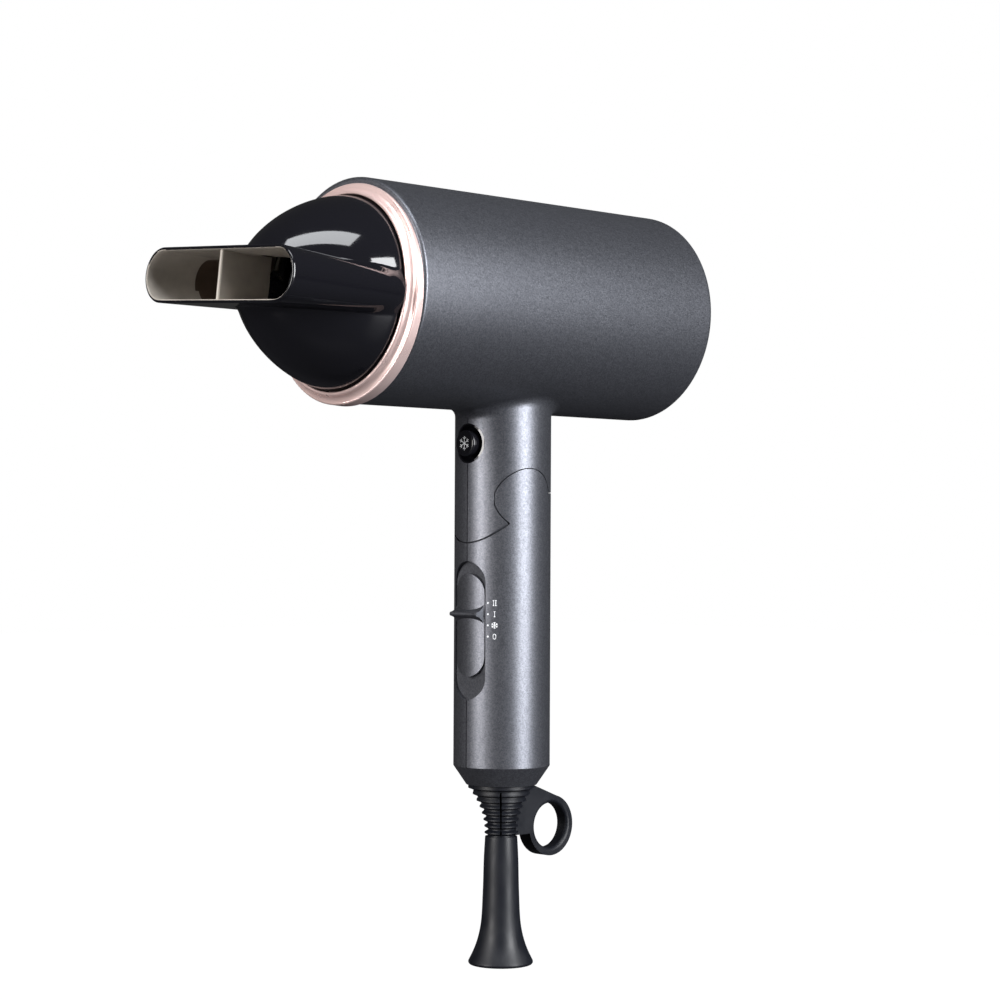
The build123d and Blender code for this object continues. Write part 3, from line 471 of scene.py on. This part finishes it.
one = [[(0, -0.95), (0, 0.95)], [(-0.3, 0.95), (0.3, 0.95)], [(-0.3, -0.95), (0.3, -0.95)]]
two = [[(u + side, v) for u, v in line] for side in (-0.42, 0.42) for line in one]
turns = [2 * math.pi * i / 16 for i in range(17)]
zero = [[(0.55 * math.sin(a), 0.95 * math.cos(a)) for a in turns]]
dot = [[(0.24 * math.cos(a), 0.24 * math.sin(a)) for a in (0.0, 1.05, 2.09, 3.14, 4.19, 5.24, 6.283)]]
MARK_AZIMUTH, DOT_AZIMUTH = 37.4, 29.4
marks = (
    ("mark_two", two, 0.22, 134.6),
    ("mark_one", one, 0.24, 130.5),
    ("mark_cool", snowflake(1.25, 0.5), 0.2, 126.4),
    ("mark_off", zero, 0.22, 122.3),
)
for name, strokes, width, z in marks:
    mark = strokes_object(name, strokes, width, on_handle(MARK_AZIMUTH, z))
    finish_piece(mark, "handle", "grey_paint", MARK)
    spot = strokes_object(name + "_dot", dot, 0.3, on_handle(DOT_AZIMUTH, z))
    finish_piece(spot, "handle", "grey_paint", MARK)

front = button_lo.y / MM - 0.04
finish_piece(strokes_object("button_snowflake", snowflake(2.6, 0.95), 0.26,
                            lambda u, v: (u, front, BUTTON_Z + v)), "cool_button", "black_plastic", MARK)

# ---------------------------------------------------------------- camera
YAW, PITCH, ROLL = math.radians(46.358), math.radians(1.183), math.radians(0.271)
forward = Vector((-math.sin(YAW) * math.cos(PITCH), math.cos(YAW) * math.cos(PITCH), math.sin(PITCH)))
right = Vector((math.cos(YAW), math.sin(YAW), 0))
up = right.cross(forward)
right, up = right * math.cos(ROLL) + up * math.sin(ROLL), up * math.cos(ROLL) - right * math.sin(ROLL)
camera_data = bpy.data.cameras.new("camera")
camera_data.lens = 84.88
camera_data.sensor_width = 36
camera_data.clip_start = 0.05
camera_data.clip_end = 50
camera = bpy.data.objects.new("camera", camera_data)
rotation = Matrix((right, up, -forward)).transposed()
camera.matrix_world = Matrix.Translation((0.6373, -0.6092, 0.1545)) @ rotation.to_4x4()
bpy.context.scene.collection.objects.link(camera)
bpy.context.scene.camera = camera

# ---------------------------------------------------------------- floor, backdrop and light
world = bpy.data.worlds.new("studio")
world.use_nodes = True
bpy.context.scene.world = world
wn, wl = world.node_tree.nodes, world.node_tree.links
background = wn["Background"]
background.inputs["Color"].default_value = (1, 1, 1, 1)
# white to the camera, and a weak fill for everything else
light_path = wn.new("ShaderNodeLightPath")
power = wn.new("ShaderNodeMapRange")
power.inputs["To Min"].default_value = 0.035
power.inputs["To Max"].default_value = 1.0
wl.new(light_path.outputs["Is Camera Ray"], power.inputs["Value"])
wl.new(power.outputs["Result"], background.inputs["Strength"])

FLOOR_REACH, FLOOR_Z = 3000, -0.5
corners = [(x * FLOOR_REACH, y * FLOOR_REACH, FLOOR_Z) for x, y in ((-1, -1), (1, -1), (1, 1), (-1, 1))]
floor = mesh_object("floor", corners, [(0, 1, 2, 3)])
# white to the camera and dark to the lights, so that it doesn't light the underside
floor_material, fn, fl, floor_shader = new_material("pale_floor")
set_base(floor_shader, (0.04, 0.04, 0.045), 0.0, 0.3)
floor_shader.inputs["Specular IOR Level"].default_value = 0.1
floor_shader.inputs["Emission Color"].default_value = (1, 1, 1, 1)
path = fn.new("ShaderNodeLightPath")
glow = fn.new("ShaderNodeMapRange")
glow.inputs["To Min"].default_value = 0.0
glow.inputs["To Max"].default_value = 1.0
fl.new(path.outputs["Is Camera Ray"], glow.inputs["Value"])
fl.new(glow.outputs["Result"], floor_shader.inputs["Emission Strength"])
floor.data.materials.append(floor_material)


def softbox(name, place, target, width, height, watts, colour):
    light = bpy.data.lights.new(name, "AREA")
    light.shape = "RECTANGLE"
    light.size = width
    light.size_y = height
    light.energy = watts
    light.color = colour
    obj = bpy.data.objects.new(name, light)
    obj.location = place
    obj.rotation_euler = (Vector(target) - Vector(place)).to_track_quat("-Z", "Y").to_euler()
    bpy.context.scene.collection.objects.link(obj)
    return obj


def around(azimuth, elevation, distance, centre=(0, -0.02, 0.16)):
    """A place round the object: azimuth 0 is towards -Y, 90 is towards +X."""
    a, e = math.radians(azimuth), math.radians(elevation)
    return (centre[0] + distance * math.sin(a) * math.cos(e),
            centre[1] - distance * math.cos(a) * math.cos(e),
            centre[2] + distance * math.sin(e))


CENTRE = (0, -0.02, 0.17)
VIEW_AZIMUTH = 46.4
softbox("key_right", around(VIEW_AZIMUTH + 54, 12, 0.95), CENTRE, 0.42, 0.95, 22, (0.97, 0.98, 1.0))
softbox("fill_left", around(VIEW_AZIMUTH - 54, 8, 1.2), CENTRE, 0.30, 1.0, 12, (1.0, 0.97, 0.95))
softbox("top_front", around(VIEW_AZIMUTH - 10, 66, 1.2), CENTRE, 0.9, 0.35, 10, (0.95, 0.97, 1.0))
softbox("low_right", around(60, -30, 1.0), CENTRE, 0.5, 0.25, 1.0, (0.85, 0.88, 1.0))
softbox("front_wide", around(-4, 10, 1.5), CENTRE, 1.2, 0.9, 9, (1.0, 0.98, 0.97))

bpy.context.scene.view_settings.view_transform = "Standard"
